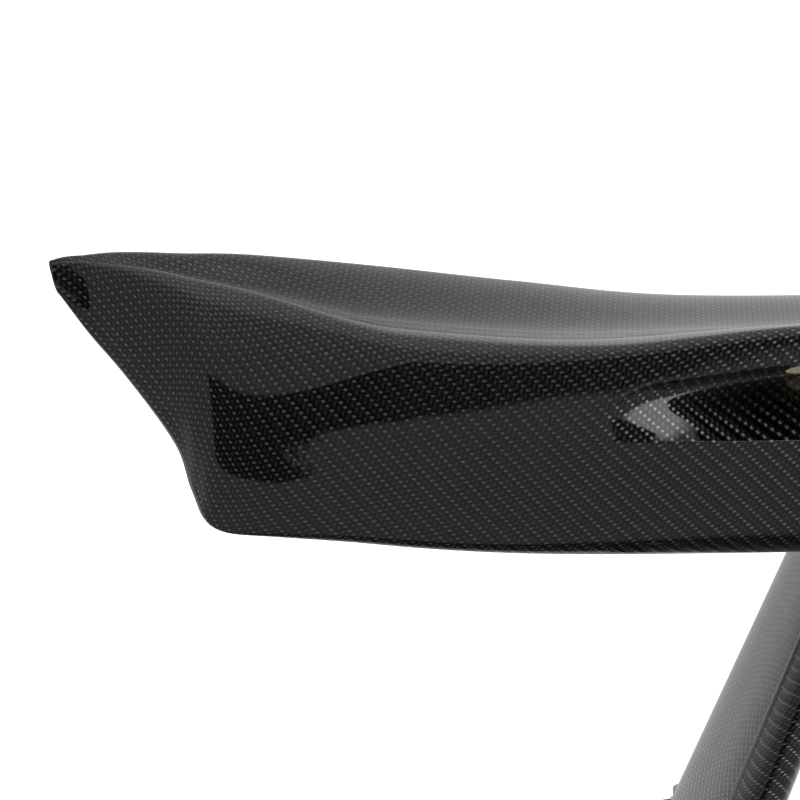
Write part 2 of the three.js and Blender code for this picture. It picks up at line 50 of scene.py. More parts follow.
# ------------------------------------------------------------------ sizes in mm, as in the CAD model
DECK_HEIGHT = 145
SKIN = 1.6
LIP_ROLL = 7
MID_ROLL = 14
END_REACH = 0.5
END_FALL = 0.68
DISH = 8
NOSE = 4
LIP_DROP = 15
CREASE_RISE = 51
COVE_DEPTH = 62
COVE_END = 460
COVE_FADE = 150
COVE_SCOOP = 1.5
COVE_MOUTH = 24
COVE_BEYOND = 30
FACE_BULGE = 5
HEEL_ROLL = 16
OUTER_HEEL = 9
EDGE_ROLL = 2
BLADE_CORNER = 12
# Where the section changes from its inner to its outer form: distances from the centre plane.
HEEL_CHANGE = (400, 520)
HOLLOW_CHANGE = (400, 590)
LIP_CHANGE = (440, 530)
ROUNDING_CHANGE = (530, 600)
EDGE_CHANGE = (540, 600)
# The most that each feature may take of a section that grows small towards the tip.
ROUND_SHARE = 0.2
DISH_SHARE = 0.08
LIP_SHARE = 0.25
CREASE_SHARE = 0.25
BULGE_SHARE = 0.07
CORNER_SHARE = 0.35
SKIN_SHARE = 0.12
FALL_MARGIN = 1.2  # the lip's face is at least this much higher than its rounding
HOLLOW_SHARES = (0.1, 0.75)  # how far the under skin is drawn in, at the legs and at the end
CLOSED_COVE = 0.05  # opening that the grid keeps where the cove is shut

LEG_X = 342.5
LEG_SPLAY = 0.43
LEG_TOE = 0.21
LEG_TOP = {"rear": -52, "front": 44, "width": 26}
LEG_FOOT = {"rear": -60, "front": 74, "width": 32}
LEG_SQUARENESS = 2.8
PAD = 3
PLATE = 6
PLATE_MARGIN = 13
PAD_SETBACK = 0.5
GAP = 0.35
SCREW_RADIUS = 3
SCREW_HEAD_RADIUS = 5
SCREW_HEAD = 5
SOCKET_RADIUS = 2.9
SCREW_END = 0.3
WASHER_RADIUS = 6
WASHER_THICKNESS = 1.2

# Finer detail than the CAD model has.
CREASE_RADIUS = 0.9  # rounding of the cove's two edges
TIP_RADIUS = 1.2  # dome over the pointed ends
TIP_U = 1 - 0.015  # the last section, as a share of the way from the centre plane to the tip
SEAM = 0.15  # bond line between the skins
LEG_FLARE = 5  # fillet where a leg meets the wing
TOW = 1.7 * MM  # width of one tow of the cloth
TWILL = 4  # tows in one repeat of the cloth

# Stations from the centre plane to the tip: leading edge, trailing lip and lower edge.
STATIONS = [
    [(0, 85, 91), (0, -92, 103), (0, -66, 0)],
    [(130, 85, 91), (130, -90, 103), (130, -65, 0)],
    [(260, 84, 91), (260, -82, 101.5), (260, -61, 0)],
    [(380, 80, 94), (380, -69, 96), (380, -53, 0)],
    [(455, 76, 103), (455, -54, 88), (455, -45, 0.6)],
    [(520, 72, 112), (520, -33, 88), (520, -24, 2.6)],
    [(575, 69, 118.5), (572, -10, 94), (577, 2, 6.5)],
    [(604, 66, 120), (597, 6, 101.5), (601, 14, 10.3)],
    [(620, 64, 121), (610, 16, 107), (608, 20, 24)],
    [(634, 62, 121.5), (623, 27, 111), (613.5, 25, 43)],
    [(646, 60, 121), (638, 40, 114), (630.5, 37, 69)],
    [(655, 58, 120), (651, 50, 116), (645.5, 48, 88)],
    [(662, 56, 118), (661.5, 54, 115.5), (660, 54, 107.5)],
]


def lerp(a, b, t):
    return a + (b - a) * t


def clamp(x, low=0.0, high=1.0):
    return max(low, min(high, x))


def smooth(x, low, high):
    t = clamp((x - low) / (high - low))
    return t * t * (3 - 2 * t)


def cubic(a, b, c, d, t):
    """The Catmull-Rom curve from b to c."""
    square = 2 * a - 5 * b + 4 * c - d
    cube = 3 * b - a - 3 * c + d
    return 0.5 * (2 * b + (c - a) * t + square * t * t + cube * t ** 3)


# ------------------------------------------------------------------ the wing's sections
GUIDES = [[Vector((x, y, z + DECK_HEIGHT)) for x, y, z in column] for column in zip(*STATIONS)]


def guide_at(points, u):
    """A point on a guide curve, at u from 0 at the centre plane to 1 at the tip."""
    t = u * (len(points) - 1)
    i = min(int(t), len(points) - 2)
    before = points[i - 1] if i else Vector((-points[1].x, points[1].y, points[1].z))
    after = points[i + 2] if i + 2 < len(points) else 2 * points[-1] - points[-2]
    return cubic(before, points[i], points[i + 1], after, t - i)


class Station:
    """One section of the wing: p runs forward from the lip, and q runs down from it."""

    def __init__(self, u):
        self.side = -1 if u < 0 else 1
        self.nose, self.lip, self.heel = (guide_at(guide, abs(u)) for guide in GUIDES)
        self.chord = (self.nose - self.lip).length
        self.drop = (self.heel - self.lip).length
        self.forward = (self.nose - self.lip) / self.chord
        self.down = (self.heel - self.lip) / self.drop
        self.x = self.lip.x
        self.skin = min(SKIN, SKIN_SHARE * min(self.chord, self.drop))

    def point(self, p, q):
        point = self.lip + self.forward * p + self.down * q
        return Vector((self.side * point.x, point.y, point.z))

    def place(self, p, q):
        return (self.point(p, q) + Vector((0, SHIFT_Y, 0))) * MM


def cove_depth(x):
    inward = clamp((COVE_END - x) / COVE_FADE)
    return COVE_DEPTH * math.sin(math.pi / 2 * inward) ** COVE_SCOOP


def cove_opening(x):
    """How far open the cove is, from 0 at its pointed end to 1. Past the end this only spreads the grid."""
    if x >= COVE_END:
        return max(smooth(x, COVE_END, COVE_END + COVE_BEYOND), CLOSED_COVE)
    inward = min((COVE_END - x) / COVE_MOUTH, 1)
    return max(math.sqrt(1 - (1 - inward) ** 2), CLOSED_COVE)


# The cove's form, as shares of its depth and of its height.
COVE_FORM = [
    (0, 0), (0.4, 0.05), (0.75, 0.11), (0.94, 0.2), (1, 0.32), (0.9, 0.45), (0.6, 0.66), (0.25, 0.88), (0, 1),
]
# Points along each part of the section's path.
NOSE_STEPS = 8
DISH_STEPS = 36
ROLL_STEPS = 14
LIP_STEPS = 6
COVE_STEPS = 32
FACE_STEPS = 22
HEEL_STEPS = 10
UNDER_STEPS = 40
CORNER_STEPS = 4


def form_at(share):
    t = share * (len(COVE_FORM) - 1)
    i = min(int(t), len(COVE_FORM) - 2)
    rows = [Vector(COVE_FORM[max(0, min(len(COVE_FORM) - 1, i + k))]) for k in (-1, 0, 1, 2)]
    return cubic(*rows, t - i)


def rounded(before, corner, after):
    """Points round a corner of a path, on a curve that stays near it."""
    def towards(other):
        length = math.dist(corner, other)
        share = min(CREASE_RADIUS, 0.45 * length) / length
        return [lerp(corner[k], other[k], share) for k in (0, 1)]
    start, end = towards(before), towards(after)
    points = []
    for i in range(CORNER_STEPS + 1):
        t = i / CORNER_STEPS
        weights = ((1 - t) ** 2, 2 * t * (1 - t), t * t)
        points.append(tuple(sum(w * p[k] for w, p in zip(weights, (start, corner, end))) for k in (0, 1)))
    return points


def outer_path(st, with_cove=True):
    """The outer skin's section: nose, dish, lip, cove, face and heel."""
    room = min(st.chord, st.drop)
    nose = min(NOSE, room * ROUND_SHARE)
    soft = smooth(st.x, *ROUNDING_CHANGE)
    radius = lerp(LIP_ROLL, MID_ROLL, smooth(st.x, *LIP_CHANGE))
    wide = lerp(radius, END_REACH * st.chord, soft)
    high = lerp(radius, END_FALL * st.drop, soft)
    outer_heel = lerp(OUTER_HEEL, EDGE_ROLL, smooth(st.x, *EDGE_CHANGE))
    heel = min(lerp(HEEL_ROLL, outer_heel, smooth(st.x, *HEEL_CHANGE)), room * ROUND_SHARE)
    dish = min(DISH, st.chord * DISH_SHARE)
    cove = cove_depth(st.x) if with_cove else 0
    bulging = min(FACE_BULGE / (st.drop - heel - high), BULGE_SHARE)
    turn = math.atan(wide / (high * math.pi * bulging))  # where the rounding meets the face's own slope
    reach = wide * math.sin(turn)
    fall = high * (1 - math.cos(turn))
    full_drop = max(min(LIP_DROP, st.drop * LIP_SHARE), fall * FALL_MARGIN)
    crease = max(st.drop - CREASE_RISE, lerp(full_drop, st.drop, CREASE_SHARE))
    lip_drop = lerp(crease, full_drop, cove_opening(st.x))
    height = st.drop - heel - fall

    def face(q):
        return -bulging * height * math.sin(math.pi * (q - fall) / height)

    path = []
    for i in range(NOSE_STEPS):
        angle = math.pi * (0.5 - i / NOSE_STEPS)
        path.append((st.chord - nose + nose * math.cos(angle), nose + nose * math.sin(angle)))
    for i in range(DISH_STEPS):
        share = i / DISH_STEPS
        path.append((lerp(st.chord - nose, reach, share), dish * (0.5 - 0.5 * math.cos(2 * math.pi * share))))
    for i in range(ROLL_STEPS):
        angle = turn * i / ROLL_STEPS
        path.append((reach - wide * math.sin(angle), high * (1 - math.cos(angle))))
    for i in range(LIP_STEPS):
        q = lerp(fall, lip_drop, i / LIP_STEPS)
        path.append((face(q), q))
    cove_points = []
    for i in range(COVE_STEPS + 1):
        depth, level = form_at(i / COVE_STEPS)
        q = lerp(lip_drop, crease, level)
        cove_points.append((face(q) + cove * max(depth, 0), q))
    face_points = []
    for i in range(1, FACE_STEPS):
        q = lerp(crease, st.drop - heel, i / FACE_STEPS)
        face_points.append((face(q), q))
    path += rounded(path[-1], cove_points[0], cove_points[1])
    path += cove_points[1:-1]
    path += rounded(cove_points[-2], cove_points[-1], face_points[0])
    path += face_points
    for i in range(HEEL_STEPS + 1):
        angle = math.pi / 2 * i / HEEL_STEPS
        path.append((heel * (1 - math.cos(angle)), st.drop - heel + heel * math.sin(angle)))
    return path


CENTRE = Station(0)
SHIFT_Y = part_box("outer_skin")[1][1] / MM - max(CENTRE.point(*at).y for at in outer_path(CENTRE))

LIP_INDEX = NOSE_STEPS + DISH_STEPS + ROLL_STEPS // 2  # the point of the path where the cloth's rows start


def under_path(st):
    """The under skin's section, from the nose back and down to the heel."""
    outer = outer_path(st)
    start = (outer[0][0] - SEAM, outer[0][1])
    end = (outer[-1][0] + SEAM + st.skin, outer[-1][1])
    corner = min(BLADE_CORNER, start[0] * CORNER_SHARE)
    hollow = lerp(*HOLLOW_SHARES, smooth(st.x, *HOLLOW_CHANGE))
    bend = (lerp((start[0] + end[0]) / 2, corner, hollow), lerp((start[1] + end[1]) / 2, corner, hollow))
    path = []
    for i in range(UNDER_STEPS + 1):
        t = i / UNDER_STEPS
        weights = ((1 - t) ** 2, 2 * t * (1 - t), t * t)
        path.append(tuple(sum(w * point[k] for w, point in zip(weights, (start, bend, end))) for k in (0, 1)))
    return path


def moved(path, distance):
    """A path moved sideways in its own plane; a positive distance moves it to the right of its direction."""
    def normal(a, b):
        length = math.dist(a, b) or 1
        return (-(b[1] - a[1]) / length, (b[0] - a[0]) / length)
    last = len(path) - 1
    result = []
    for i, point in enumerate(path):
        before = normal(path[max(i - 1, 0)], path[max(i, 1)])
        after = normal(path[min(i, last - 1)], path[min(i + 1, last)])
        total = (before[0] + after[0], before[1] + after[1])
        scale = 2 * distance / max(total[0] ** 2 + total[1] ** 2, 1)
        result.append((point[0] + total[0] * scale, point[1] + total[1] * scale))
    return result


ROW_STEPS = [10, 10, 20, 40, 40, 14, 10, 8, 8, 8, 8, 8]  # sections between each two stations of the table


def half_span():
    places = []
    for row, steps in enumerate(ROW_STEPS):
        places += [(row + i / steps) / len(ROW_STEPS) for i in range(steps)]
    return [u for u in places if u < TIP_U] + [TIP_U]


HALF = half_span()
SPAN = [Station(u) for u in [-u for u in reversed(HALF[1:])] + HALF]


# ------------------------------------------------------------------ mesh helpers
SHARP = math.radians(38)


def make_piece(name, points, faces, uvs=None, corner_uvs=None, sharp=SHARP):
    """An object from points in metres, with UVs in metres of cloth for each point or each face's corner."""
    mesh = bpy.data.meshes.new(name)
    mesh.from_pydata([tuple(point) for point in points], [], faces)
    if uvs:
        corner_uvs = [[uvs[k] for k in face] for face in faces]
    if corner_uvs:
        layer = mesh.uv_layers.new(name="cloth")
        for face, pairs in zip(mesh.polygons, corner_uvs):
            for loop, pair in zip(face.loop_indices, pairs):
                layer.data[loop].uv = pair
    work = bmesh.new()
    work.from_mesh(mesh)
    bmesh.ops.recalc_face_normals(work, faces=work.faces)
    work.to_mesh(mesh)
    work.free()
    mesh.shade_smooth()
    mesh.set_sharp_from_angle(angle=sharp)
    piece = bpy.data.objects.new(name, mesh)
    bpy.context.collection.objects.link(piece)
    return piece


def stand_for(piece, node):
    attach(piece, "root")
    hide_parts(node)


def grid_faces(rows, columns, first=0, closed=False):
    """Quads over a grid of points; closed grids join their last column to their first."""
    faces = []
    for i in range(rows - 1):
        for j in range(columns if closed else columns - 1):
            k = (j + 1) % columns
            a, b = first + i * columns, first + (i + 1) * columns
            faces.append((a + j, a + k, b + k, b + j))
    return faces


def end_caps(rows, columns):
    """The two end faces of a tube of rings."""
    last = (rows - 1) * columns
    return [tuple(range(columns)), tuple(last + i for i in range(columns))]


def edge_faces(rows, columns):
    """Quads that join two grids, one after the other in the list of points, round their edges."""
    loop = list(range(columns))
    loop += [i * columns + columns - 1 for i in range(1, rows)]
    loop += [(rows - 1) * columns + j for j in range(columns - 2, -1, -1)]
    loop += [i * columns for i in range(rows - 2, 0, -1)]
    size = rows * columns
    return [(a, b, b + size, a + size) for a, b in zip(loop, loop[1:] + loop[:1])]


# ------------------------------------------------------------------ the wing's two skins
DOME_STEPS = 6
DOME_TURN = math.radians(84)


def with_domes(rows):
    """Adds rows past both ends, which close round the middle of the end section."""
    def dome(row, st):
        middle = (st.nose + st.lip + st.heel) / 3
        centre = Vector((st.side * middle.x, middle.y + SHIFT_Y, middle.z)) * MM
        outward = Vector((st.side * TIP_RADIUS * MM, 0, 0))
        added = []
        for k in range(DOME_STEPS):
            turn = DOME_TURN * (k + 1) / DOME_STEPS
            cosine, sine = math.cos(turn), math.sin(turn)
            added.append([centre + (point - centre) * cosine + outward * sine for point in row])
        return added

    return dome(rows[0], SPAN[0])[::-1] + rows + dome(rows[-1], SPAN[-1])


def cloth_u():
    """How far along the cloth each section lies: the length of the lip's own curve from the centre plane."""
    middle = len(SPAN) // 2
    reach = [0.0]
    for a, b in zip(SPAN[middle:], SPAN[middle + 1:]):
        reach.append(reach[-1] + (b.lip - a.lip).length * MM)
    reach += [reach[-1] + TIP_RADIUS * MM * (k + 1) / DOME_STEPS for k in range(DOME_STEPS)]
    return [-u for u in reversed(reach[1:])] + reach


def running_length(path):
    """The length of a path up to each of its points."""
    reach = [0.0]
    for a, b in zip(path, path[1:]):
        reach.append(reach[-1] + math.dist(a, b))
    return reach


def cloth_v(path, start):
    """How far down the cloth each point of a path lies, from the point with the given index."""
    reach = running_length(path)
    return [(v - reach[start]) * MM for v in reach]


def skin_piece(name, path_of, inward, reach_of):
    outer = with_domes([[st.place(*point) for point in path_of(st)] for st in SPAN])
    inner = with_domes([[st.place(*point) for point in moved(path_of(st), inward * st.skin)] for st in SPAN])
    across = [reach_of(st) for st in SPAN]
    across = [across[0]] * DOME_STEPS + across + [across[-1]] * DOME_STEPS
    uvs = [(u, v) for u, row in zip(cloth_u(), across) for v in row]
    rows, columns = len(outer), len(outer[0])
    points = [point for row in outer + inner for point in row]
    faces = grid_faces(rows, columns) + grid_faces(rows, columns, rows * columns) + edge_faces(rows, columns)
    return make_piece(name, points, faces, uvs * 2)


def outer_reach(st):
    return cloth_v(outer_path(st, with_cove=False), LIP_INDEX)


def under_reach(st):
    return cloth_v(under_path(st), 0)


skin = skin_piece("wing_skin", outer_path, -1, outer_reach)
underside = skin_piece("wing_underside", under_path, 1, under_reach)
stand_for(skin, "outer_skin")
stand_for(underside, "under_skin")


# ------------------------------------------------------------------ legs
LEG_BOTTOM = PAD + PLATE + GAP
LEG_RING = 128
LEG_ROWS = 30
FLARE_STEPS = 10
LEG_BURY = 0.4  # how far the leg's top edge lies inside the wing's skin
LEG_SHARP = math.radians(60)
AIM_HEIGHT = DECK_HEIGHT - 30  # the leg's lines are aimed at the wing from here
FLARE_LEAST = 0.02  # share of the flare that is left at the leg's rear
FLARE_CHANGE = (1, 12)  # it grows over this stretch, forward from the rear


def leg_centre_x(z):
    return LEG_X + LEG_SPLAY * (DECK_HEIGHT - z)


def toe_at(y):
    return LEG_TOE * (y - LEG_TOP["rear"])


def leg_outline(share, grow):
    """The leg's outline at a share of its height, moved out by grow, from its front all the way round."""
    rear = lerp(LEG_FOOT["rear"], LEG_TOP["rear"], share)
    front = lerp(LEG_FOOT["front"], LEG_TOP["front"], share)
    half_width = lerp(LEG_FOOT["width"], LEG_TOP["width"], share) / 2 + grow
    power = 2 / LEG_SQUARENESS
    outline = []
    for i in range(LEG_RING):
        angle = math.pi / 2 + 2 * math.pi * i / LEG_RING
        across = math.copysign(abs(math.cos(angle)) ** power, math.cos(angle))
        along = math.copysign(abs(math.sin(angle)) ** power, math.sin(angle))
        y = (front + rear) / 2 + ((front - rear) / 2 + grow) * along
        outline.append((half_width * across - toe_at(y), y))
    return outline


def in_place(side, x, y, z):
    return Vector((side * x, y + SHIFT_Y, z)) * MM


def wing_surface():
    """The wing's outside as one surface to aim at."""
    points, faces = [], []
    for path_of in (outer_path, under_path):
        rows = [[st.place(*point) for point in path_of(st)] for st in SPAN]
        faces += grid_faces(len(rows), len(rows[0]), len(points))
        points += [point for row in rows for point in row]
    return BVHTree.FromPolygons(points, faces)


LEG_TOP_OUTLINE = leg_outline(1, 0)


def rear_share(y):
    """The flare's strength: nearly none at the rear, where the leg runs straight on from the wing's face."""
    return lerp(FLARE_LEAST, 1, smooth(y, *(LEG_TOP["rear"] + edge for edge in FLARE_CHANGE)))


def leg_columns(side, surface):
    """For each place round the leg: its line from the foot to the wing, plain and then grown by the flare."""
    foot = [in_place(side, leg_centre_x(LEG_BOTTOM) + x, y, LEG_BOTTOM) for x, y in leg_outline(0, 0)]
    columns = []
    meets = {}
    for step in range(FLARE_STEPS + 1):
        turn = math.pi / 2 * step / FLARE_STEPS
        grow = LEG_FLARE * (1 - math.cos(turn))
        for i, (x, y) in enumerate(leg_outline(1, grow)):
            plain_x, plain_y = LEG_TOP_OUTLINE[i]
            share = rear_share(plain_y)
            x, y = lerp(plain_x, x, share), lerp(plain_y, y, share)
            low = in_place(side, leg_centre_x(AIM_HEIGHT) + x, y, AIM_HEIGHT)
            up = Vector((-side * LEG_SPLAY, 0, 1)).normalized()
            hit = surface.ray_cast(low, up)[0]
            meet = hit or low + up * (DECK_HEIGHT - AIM_HEIGHT) * MM
            meets[step, i] = (meet, up, share)
    for i in range(LEG_RING):
        column = []
        meet, up, share = meets[0, i]
        start = meet - up * LEG_FLARE * share * MM
        for row in range(LEG_ROWS):
            column.append(foot[i].lerp(start, row / LEG_ROWS))
        for step in range(FLARE_STEPS + 1):
            meet, up, share = meets[step, i]
            below = LEG_FLARE * share * (1 - math.sin(math.pi / 2 * step / FLARE_STEPS))
            column.append(meet - up * (below - LEG_BURY) * MM)
        columns.append(column)
    return columns


def leg_piece(word, side, surface):
    columns = leg_columns(side, surface)
    rows = len(columns[0])
    points = [columns[i][row] for row in range(rows) for i in range(LEG_RING)]
    around = [reach * MM for reach in running_length(LEG_TOP_OUTLINE + LEG_TOP_OUTLINE[:1])]
    repeat = TWILL * TOW
    fit = side * round(around[-1] / repeat) * repeat / around[-1]  # a whole number of repeats round the leg
    up = running_length(columns[0])
    faces, corner_uvs = [], []
    for row in range(rows - 1):
        low, high = row * LEG_RING, (row + 1) * LEG_RING
        for i in range(LEG_RING):
            k = (i + 1) % LEG_RING
            faces.append((low + i, low + k, high + k, high + i))
            u0, u1 = around[i] * fit, around[i + 1] * fit
            corner_uvs.append(((u0, -up[row]), (u1, -up[row]), (u1, -up[row + 1]), (u0, -up[row + 1])))
    faces += end_caps(rows, LEG_RING)
    piece = make_piece(f"leg_shell_{word}", points, faces, corner_uvs=corner_uvs, sharp=LEG_SHARP)
    stand_for(piece, f"leg_{word}")
    return piece


surface = wing_surface()
legs = [leg_piece(word, side, surface) for word, side in SIDES]


# ------------------------------------------------------------------ feet
def slab(name, side, profile):
    """A plate with the foot's outline, from rows of (margin beyond the leg, height) from the bottom up."""
    points = []
    for margin, z in profile:
        points += [in_place(side, leg_centre_x(LEG_BOTTOM) + x, y, z) for x, y in leg_outline(0, margin)]
    faces = grid_faces(len(profile), LEG_RING, closed=True)
    faces += end_caps(len(profile), LEG_RING)
    return make_piece(name, points, faces)


def edge_profile(margin, bottom, top, radius, steps=4):
    """Rounded bottom and top edges."""
    turns = [math.pi / 2 * i / steps for i in range(steps + 1)]
    low = [(margin - radius * (1 - math.sin(a)), bottom + radius * (1 - math.cos(a))) for a in turns]
    high = [(margin - radius * (1 - math.cos(a)), top - radius * (1 - math.sin(a))) for a in turns]
    return low + high


def screw_place(side, y):
    return side * (leg_centre_x(LEG_BOTTOM) - toe_at(y)), y + SHIFT_Y


METAL_SHARP = math.radians(30)
KNURL_DEPTH = 0.012
KNURL_POINTS = 4  # points of the ring for each ridge
FOOT_SCREWS = (LEG_FOOT["rear"] - PLATE_MARGIN / 2, LEG_FOOT["front"] + PLATE_MARGIN / 2)
ROUND = 96
HALF_FLAT = math.pi / 6  # half a hexagon's side, seen from its middle


def turned(name, side, y, rows, hexagon=(), knurl=(), closed=False):
    """A turned piece at a foot screw's place, from rows of (radius, height) from the bottom up."""
    x0, y0 = screw_place(side, y)
    points = []
    for index, (radius, z) in enumerate(rows):
        for i in range(ROUND):
            angle = 2 * math.pi * i / ROUND
            reach = radius
            if index in hexagon:
                reach = radius / math.cos(angle % (2 * HALF_FLAT) - HALF_FLAT) * math.cos(HALF_FLAT)
            if index in knurl:
                reach = radius * (1 + KNURL_DEPTH * math.cos(angle * ROUND / KNURL_POINTS))
            points.append(Vector((x0 + reach * math.cos(angle), y0 + reach * math.sin(angle), z)) * MM)
    faces = grid_faces(len(rows), ROUND, closed=True)
    last = (len(rows) - 1) * ROUND
    if closed:
        faces += [(i, (i + 1) % ROUND, last + (i + 1) % ROUND, last + i) for i in range(ROUND)]
    else:
        faces += end_caps(len(rows), ROUND)
    return make_piece(name, points, faces, sharp=METAL_SHARP)


SEAT = PAD + PLATE + GAP + WASHER_THICKNESS + GAP


def foot_screw(name, side, y):
    r, head, top = SCREW_RADIUS, SCREW_HEAD_RADIUS, SEAT + SCREW_HEAD
    body = head * 0.985  # the knurl's mean radius
    rows = [
        (r - 0.4, SCREW_END), (r, SCREW_END + 0.4), (r, SEAT),
        (head - 0.3, SEAT), (body, SEAT + 0.3), (body, SEAT + 0.5), (body, top - 0.9), (body, top - 0.6),
        (head - 0.4, top - 0.12), (head - 0.7, top),
        (SOCKET_RADIUS + 0.25, top), (SOCKET_RADIUS, top - 0.25),
        (SOCKET_RADIUS, top - 2.6), (0.3, top - 3.2),
    ]
    return turned(name, side, y, rows, hexagon=(11, 12), knurl=(5, 6))


def foot_washer(name, side, y):
    low, high = PAD + PLATE + GAP, PAD + PLATE + GAP + WASHER_THICKNESS
    inner, outer, edge = SCREW_RADIUS + GAP, WASHER_RADIUS, 0.2
    rows = [
        (inner, low), (outer - edge, low), (outer, low + edge), (outer, high - edge), (outer - edge, high),
        (inner + edge, high), (inner, high - edge),
    ]
    return turned(name, side, y, rows, closed=True)


def drilled(piece, side, radius):
    """Cuts the two foot screws' holes."""
    for y in FOOT_SCREWS:
        bit = turned("bit", side, y, [(radius, -2), (radius, PAD + PLATE + 2)])
        cut = piece.modifiers.new("hole", "BOOLEAN")
        cut.operation = "DIFFERENCE"
        cut.solver = "EXACT"
        cut.object = bit
        bpy.context.view_layer.update()
        mesh = bpy.data.meshes.new_from_object(piece.evaluated_get(bpy.context.evaluated_depsgraph_get()))
        piece.modifiers.clear()
        piece.data = mesh
        bpy.data.objects.remove(bit)
    piece.data.shade_smooth()
    piece.data.set_sharp_from_angle(angle=METAL_SHARP)


feet = {"plate": [], "pad": [], "screw": [], "washer": []}
for word, side in SIDES:
    plate = slab(f"foot_{word}", side, edge_profile(PLATE_MARGIN, PAD, PAD + PLATE, 1.0))
    drilled(plate, side, SCREW_RADIUS + GAP)
    stand_for(plate, f"foot_plate_{word}")
    pad = slab(f"pad_{word}", side, edge_profile(PLATE_MARGIN - PAD_SETBACK, 0, PAD - GAP, 0.7))
    drilled(pad, side, SCREW_RADIUS + GAP)
    stand_for(pad, f"foot_pad_{word}")
    feet["plate"].append(plate)
    feet["pad"].append(pad)
    for end, y in zip(ENDS, FOOT_SCREWS):
        screw = foot_screw(f"screw_{end}_{word}", side, y)
        stand_for(screw, f"foot_screw_{end}_{word}")
        washer = foot_washer(f"washer_{end}_{word}", side, y)
        stand_for(washer, f"foot_washer_{end}_{word}")
        feet["screw"].append(screw)
        feet["washer"].append(washer)


# ------------------------------------------------------------------ node helpers
NOISE = (0.3, 0.7)  # where most of a noise texture's values lie


class Nodes:
    """A short way to write a material's or world's nodes."""

    def __init__(self, owner):
        owner.use_nodes = True
        self.tree = owner.node_tree
        self.tree.nodes.clear()

    def add(self, kind, settings=None, **inputs):
        node = self.tree.nodes.new(kind)
        for name, value in (settings or {}).items():
            setattr(node, name, value)
        for name, value in inputs.items():
            self.feed(node, name.replace("_", " "), value)
        return node

    def feed(self, node, name, value):
        socket = node.inputs[name] if isinstance(name, int) else node.inputs.get(name)
        if isinstance(value, bpy.types.NodeSocket):
            self.tree.links.new(value, socket)
        else:
            socket.default_value = value

    def math(self, operation, *values):
        node = self.tree.nodes.new("ShaderNodeMath")
        node.operation = operation
        for i, value in enumerate(values):
            self.feed(node, i, value)
        return node.outputs[0]

    def times(self, a, b):
        return self.math("MULTIPLY", a, b)

    def plus(self, a, b):
        return self.math("ADD", a, b)

    def minus(self, a, b):
        return self.math("SUBTRACT", a, b)

    def over(self, a, b):
        return self.math("DIVIDE", a, b)

    def doubled(self, value):
        """Twice the distance from zero."""
        return self.math("ABSOLUTE", self.times(value, 2.0))

    def wrapped(self, value):
        """A place within the twill's repeat."""
        return self.math("FLOORED_MODULO", value, float(TWILL))

    def between(self, factor, low, high):
        """low at factor 0, high at factor 1."""
        return self.math("MULTIPLY_ADD", factor, self.minus(high, low), low)

    def ramp(self, value, low, high, out_low=0.0, out_high=1.0, kind="SMOOTHSTEP"):
        node = self.add("ShaderNodeMapRange", {"interpolation_type": kind}, Value=value)
        node.inputs["From Min"].default_value = low
        node.inputs["From Max"].default_value = high
        node.inputs["To Min"].default_value = out_low
        node.inputs["To Max"].default_value = out_high
        return node.outputs["Result"]

    def curve(self, value, points):
        """Straight lines through points; the value outside them is that of the nearest one."""
        lows = [min(point[k] for point in points) for k in (0, 1)]
        spans = [max(point[k] for point in points) - lows[k] for k in (0, 1)]
        share = self.over(self.minus(value, lows[0]), spans[0])
        node = self.add("ShaderNodeFloatCurve", Value=share)
        line = node.mapping.curves[0]
        shares = [[(point[k] - lows[k]) / spans[k] for k in (0, 1)] for point in points]
        for end, share in zip((0, 1), (shares[0], shares[-1])):
            line.points[end].location = share
        for share in shares[1:-1]:
            line.points.new(*share)
        for point in line.points:
            point.handle_type = "VECTOR"
        node.mapping.update()
        return self.math("MULTIPLY_ADD", node.outputs["Value"], spans[1], lows[1])

    def noise(self, vector, scale, detail=3.0, roughness=0.5):
        node = self.add("ShaderNodeTexNoise", Vector=vector, Scale=scale, Detail=detail, Roughness=roughness)
        return node.outputs["Fac"]

    def place(self):
        return self.add("ShaderNodeTexCoord").outputs["Object"]

    def stretched(self, vector, level, upright):
        """Scaled for marks that run level."""
        return self.add("ShaderNodeMapping", Vector=vector, Scale=(level, level, upright)).outputs[0]

    def split(self, vector):
        return self.add("ShaderNodeSeparateXYZ", Vector=vector).outputs

    def grey(self, *channels):
        node = self.add("ShaderNodeCombineColor")
        for i, channel in enumerate(channels * (3 if len(channels) == 1 else 1)):
            self.feed(node, i, channel)
        return node.outputs[0]

    def bump(self, height, distance, strength=1.0, normal=None):
        node = self.add("ShaderNodeBump", Height=height, Distance=distance, Strength=strength)
        if normal:
            self.feed(node, "Normal", normal)
        return node.outputs["Normal"]

    def surface(self, shader):
        out = self.add("ShaderNodeOutputMaterial")
        self.tree.links.new(shader.outputs[0], out.inputs["Surface"])


def new_material(name):
    material = bpy.data.materials.new(name)
    return material, Nodes(material)


def give(material, *objects):
    for piece in objects:
        piece.data.materials.clear()
        piece.data.materials.append(material)


# ------------------------------------------------------------------ carbon cloth
TOW_TILT = 0.5  # slope of a tow's flanks
FLOAT_TILT = 0.4  # slope where a tow dives under the next
TOW_TONE = 0.012  # reflectance of a tow where it dives
WEFT_GLINT = 0.22  # painted glint: reflectance raised at the crown of a weft float, so a bright dot shows there
# painted glint at the crown of a warp float, kept dimmer than the weft's
WARP_GLINT = 0.06
GAP_TONE = 0.45  # share of its tone left in the gap between two tows
FIBRES = 9.0  # fibre bundles across a tow
FIBRE_RUN = 0.6  # how fast they change along it
CARBON_BLUE = 1.03  # a little cooler than grey


def twill_of(n, u, v):
    """Which tow of a 2x2 twill is on top: 1 for warp and 0 for weft. Also its column and its row."""
    column, row = n.math("FLOOR", u), n.math("FLOOR", v)
    warp = n.math("LESS_THAN", n.wrapped(n.minus(column, row)), 1.5)
    return warp, column, row


